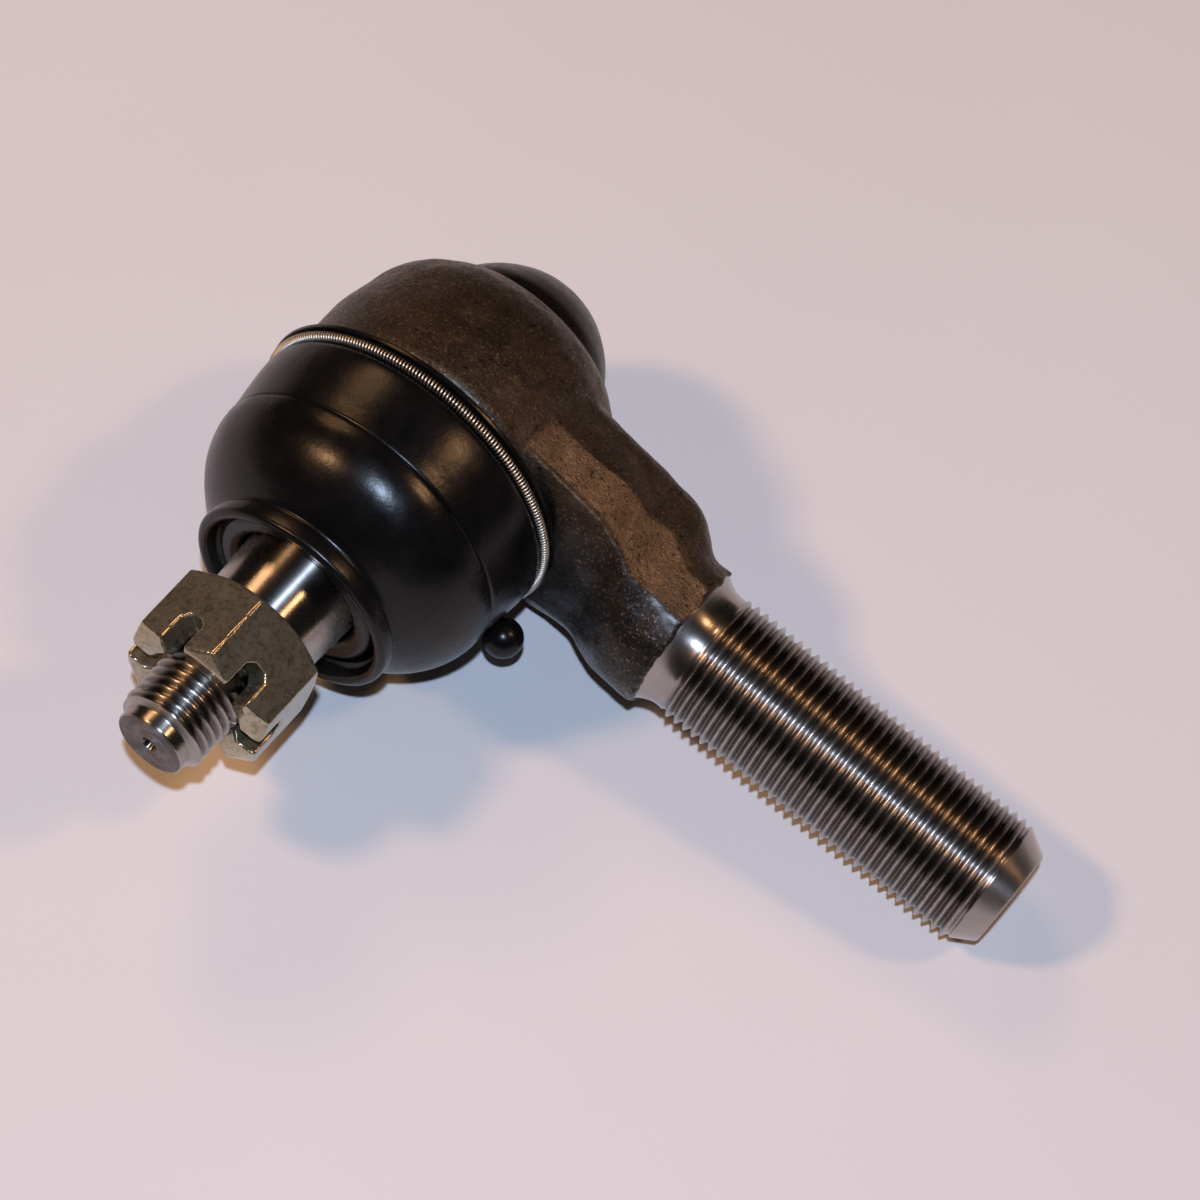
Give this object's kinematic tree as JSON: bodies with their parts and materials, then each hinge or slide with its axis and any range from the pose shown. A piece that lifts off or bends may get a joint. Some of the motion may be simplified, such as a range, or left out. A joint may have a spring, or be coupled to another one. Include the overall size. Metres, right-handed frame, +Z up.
{
  "type": "tie rod end",
  "caption": "Steering tie rod end: forged housing with a male threaded shank, spring-loaded ball stud with a taper seat, rubber dust boot, domed end cap and slotted castle nut.",
  "frame": {"origin": "on the surface it lies on, under the centre of the bounding box", "axes": "+X out along the threaded shank, seen from above; +Z up from the surface it lies on; the stud's tip points to -Y and the domed cap to +Y"},
  "size_m": [0.1264, 0.092, 0.0496],
  "materials": {
    "forged_steel": "dark forging scale with oil",
    "polished_steel": "ground and polished",
    "bearing_polymer": "moulded",
    "spring_steel": "bright drawn wire",
    "cap_steel": "phosphated and oiled sheet",
    "rubber": "semi-gloss moulded",
    "zinc_plate": "yellow zinc plate"
  },
  "bodies": {
    "housing": {"housing": "forged_steel", "bearing_ring": "bearing_polymer", "seat_spring": "spring_steel", "end_cap": "cap_steel"},
    "seat": {"pressure_seat": "bearing_polymer"},
    "boot": {"dust_boot": "rubber", "garter_spring": "spring_steel", "vent_plug": "rubber"},
    "boot_mouth": {"boot_collar": "rubber"},
    "stud": {"ball_stud": "polished_steel"},
    "nut": {"castle_nut": "zinc_plate"}
  },
  "joints": [
    {"name": "boot_swivel", "type": "hinge", "parent": "housing", "child": "boot", "pos_m": [-0.03837, 0.01676, 0.02449], "axis": [-0.0076, 0.9987, -0.05], "continuous": true},
    {"name": "stud_tilt", "type": "hinge", "parent": "boot", "child": "boot_mouth", "pos_m": [-0.03837, 0.01676, 0.02449], "axis": [0.1493, 0.0506, 0.9875], "range_deg": [-20, 20], "deforming": ["dust_boot"]},
    {"name": "stud_spin", "type": "hinge", "parent": "boot_mouth", "child": "stud", "pos_m": [-0.03837, 0.01676, 0.02449], "axis": [-0.0076, 0.9987, -0.05], "continuous": true},
    {"name": "nut_turn", "type": "hinge", "parent": "stud", "child": "nut", "pos_m": [-0.03837, 0.01676, 0.02449], "axis": [-0.0076, 0.9987, -0.05], "continuous": true},
    {"name": "seat_slide", "type": "slide", "parent": "housing", "child": "seat", "axis": [-0.0076, 0.9987, -0.05], "range_m": [0, 0.0008], "stiffness_N_per_m": 20000, "deforming": ["seat_spring"]}
  ]
}
